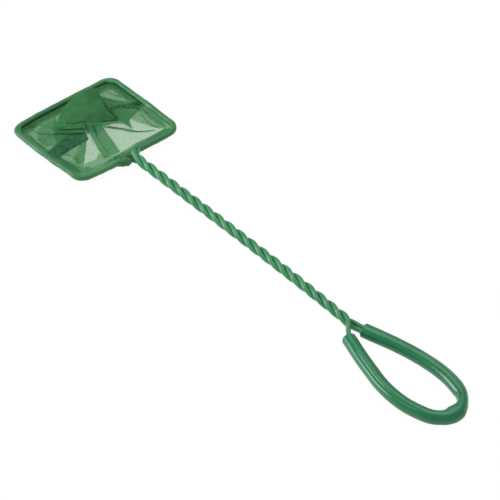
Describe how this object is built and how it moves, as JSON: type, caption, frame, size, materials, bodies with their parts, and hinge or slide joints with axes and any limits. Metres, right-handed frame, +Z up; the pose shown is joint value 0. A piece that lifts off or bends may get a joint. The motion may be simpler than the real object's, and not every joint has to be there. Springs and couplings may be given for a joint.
{
  "type": "aquarium fish net",
  "caption": "Small aquarium net: soft mesh bag hemmed to a rectangular coated wire frame, a twisted wire handle and a hanging loop with a soft grip sleeve.",
  "frame": {"origin": "under the middle of the whole net's length and of its frame's width, on the surface that it lies on", "axes": "+X along the handle from the frame to the loop, +Y across the frame, +Z up out of the net's mouth"},
  "size_m": [0.3428, 0.076, 0.008],
  "materials": {
    "steel": "bright",
    "wire_coat": "gloss",
    "sleeve": "satin",
    "hem_cloth": "matt",
    "mesh": "matt",
    "thread": "matt"
  },
  "bodies": {
    "root": {"frame_wire_core": "steel", "frame_wire_coat": "wire_coat", "right_strand_core": "steel", "right_strand_coat": "wire_coat", "left_strand_core": "steel", "left_strand_coat": "wire_coat", "tail_strand_core": "steel", "tail_strand_coat": "wire_coat", "inner_loop_core": "steel", "inner_loop_coat": "wire_coat", "outer_loop_core": "steel", "outer_loop_coat": "wire_coat", "grip_sleeve": "sleeve", "far_hem": "hem_cloth", "near_left_hem": "hem_cloth", "near_right_hem": "hem_cloth", "hem_bridge": "hem_cloth", "gathered_hem": "hem_cloth", "hem_thread": "thread", "far_bag_panel": "mesh", "near_bag_panel": "mesh", "left_side_seam": "mesh", "right_side_seam": "mesh", "bag_fold": "mesh", "bag_bottom_seam": "mesh"}
  },
  "joints": []
}
